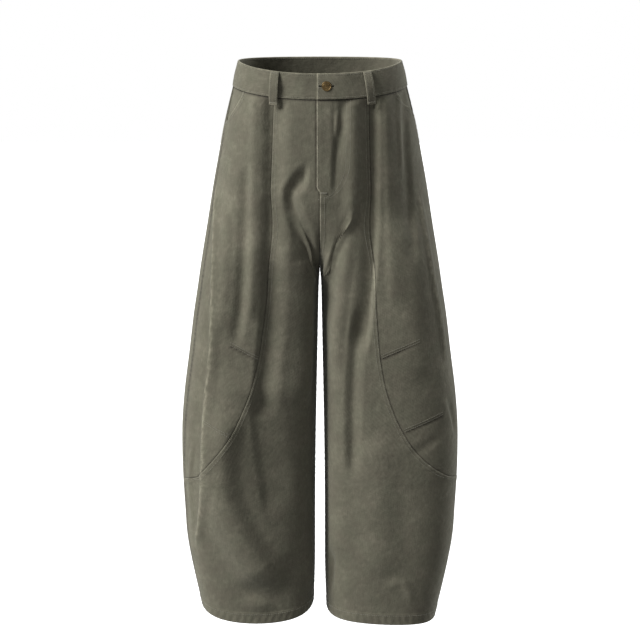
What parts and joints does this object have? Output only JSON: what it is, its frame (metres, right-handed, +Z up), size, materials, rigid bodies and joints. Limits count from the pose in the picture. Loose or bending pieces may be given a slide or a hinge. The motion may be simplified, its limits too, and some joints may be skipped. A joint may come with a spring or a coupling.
{
  "type": "barrel_leg_jeans",
  "caption": "High-waisted barrel-leg jeans in olive cotton twill, hollow and filled out as worn, with slanted pockets, curved front seams and a metal waist button.",
  "frame": {"origin": "middle of the waistband ring, where the wearer's waist holds the garment", "axes": "+X towards the wearer's left, -Y is the front, +Z up"},
  "size_m": [0.5088, 0.2582, 1.0335],
  "materials": {
    "twill": "washed cotton twill with worn, lighter edges",
    "antique_brass": "darkened, satin"
  },
  "bodies": {
    "root": {"waistband": "twill", "front_right": "twill", "front_left": "twill", "side_right": "twill", "side_left": "twill", "pocket_facing_right": "twill", "pocket_facing_left": "twill", "back_right": "twill", "back_left": "twill", "loop_front_right": "twill", "loop_front_left": "twill", "loop_back_right": "twill", "loop_back_left": "twill", "loop_back_centre": "twill", "button": "antique_brass"}
  },
  "joints": []
}
